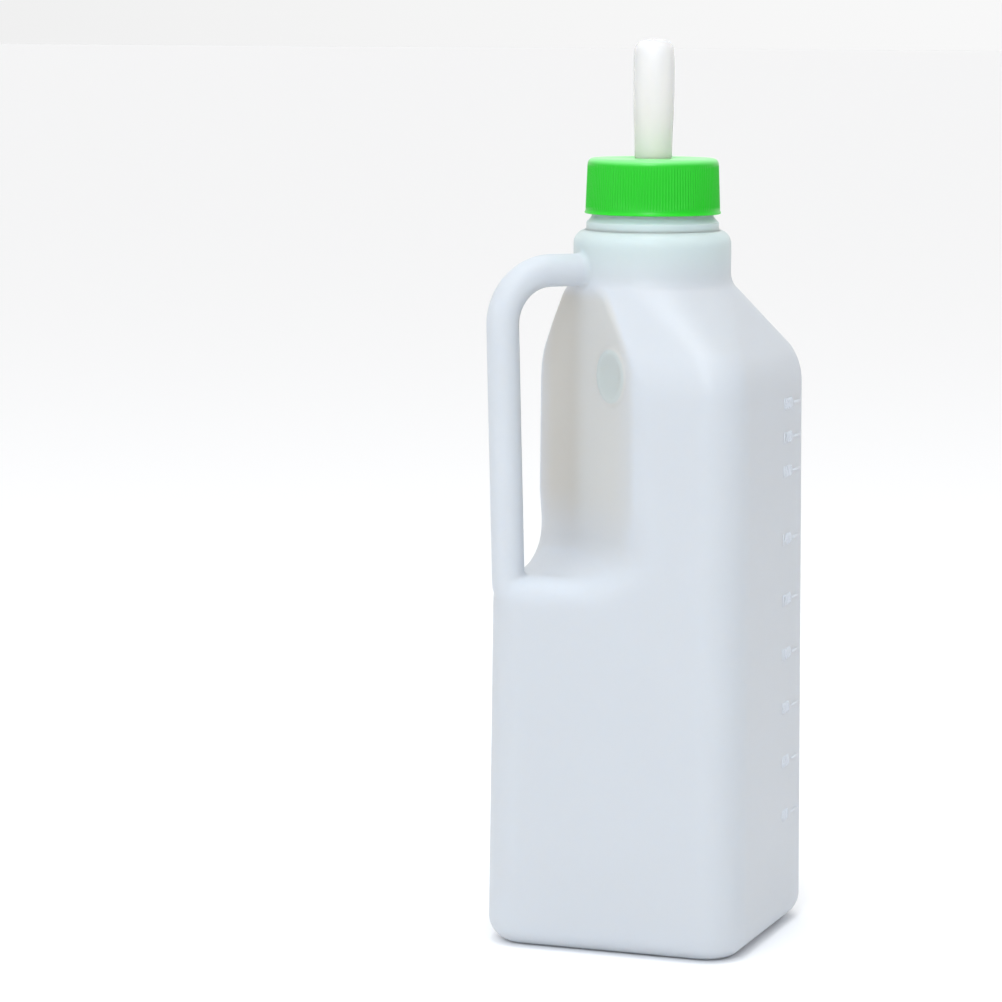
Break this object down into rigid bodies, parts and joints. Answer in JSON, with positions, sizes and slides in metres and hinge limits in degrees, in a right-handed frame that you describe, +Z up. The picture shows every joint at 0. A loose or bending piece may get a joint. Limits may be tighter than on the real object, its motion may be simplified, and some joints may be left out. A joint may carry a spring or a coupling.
{
  "type": "calf feeding bottle",
  "caption": "Square blow-moulded feeding bottle with a corner handle, volume marks, a green ribbed screw cap and a soft teat standing through the cap.",
  "frame": {"origin": "centre of the base, on the surface the bottle stands on", "axes": "+Z up along the neck; the front face looks along -Y and the volume marks are on the right face, +X; the handle is on the front-left corner (-X, -Y)"},
  "size_m": [0.1022, 0.102, 0.343],
  "materials": {
    "bottle": "translucent natural polyethylene",
    "cap": "moulded, semi-gloss",
    "teat": "soft, translucent"
  },
  "bodies": {
    "bottle": {"bottle": "bottle"},
    "teat": {"teat": "teat"},
    "cap": {"cap": "cap"}
  },
  "joints": [
    {"name": "cap_lift", "type": "slide", "parent": "bottle", "child": "teat", "axis": [0, 0, 1], "range_m": [0, 0.0064]},
    {"name": "cap_turn", "type": "hinge", "parent": "teat", "child": "cap", "pos_m": [0, 0, 0.298], "axis": [0, 0, 1], "range_deg": [0, 540]}
  ],
  "couplings": [
    {"joint": "cap_lift", "follows": "cap_turn", "m_per_rad": 0.00066845}
  ]
}
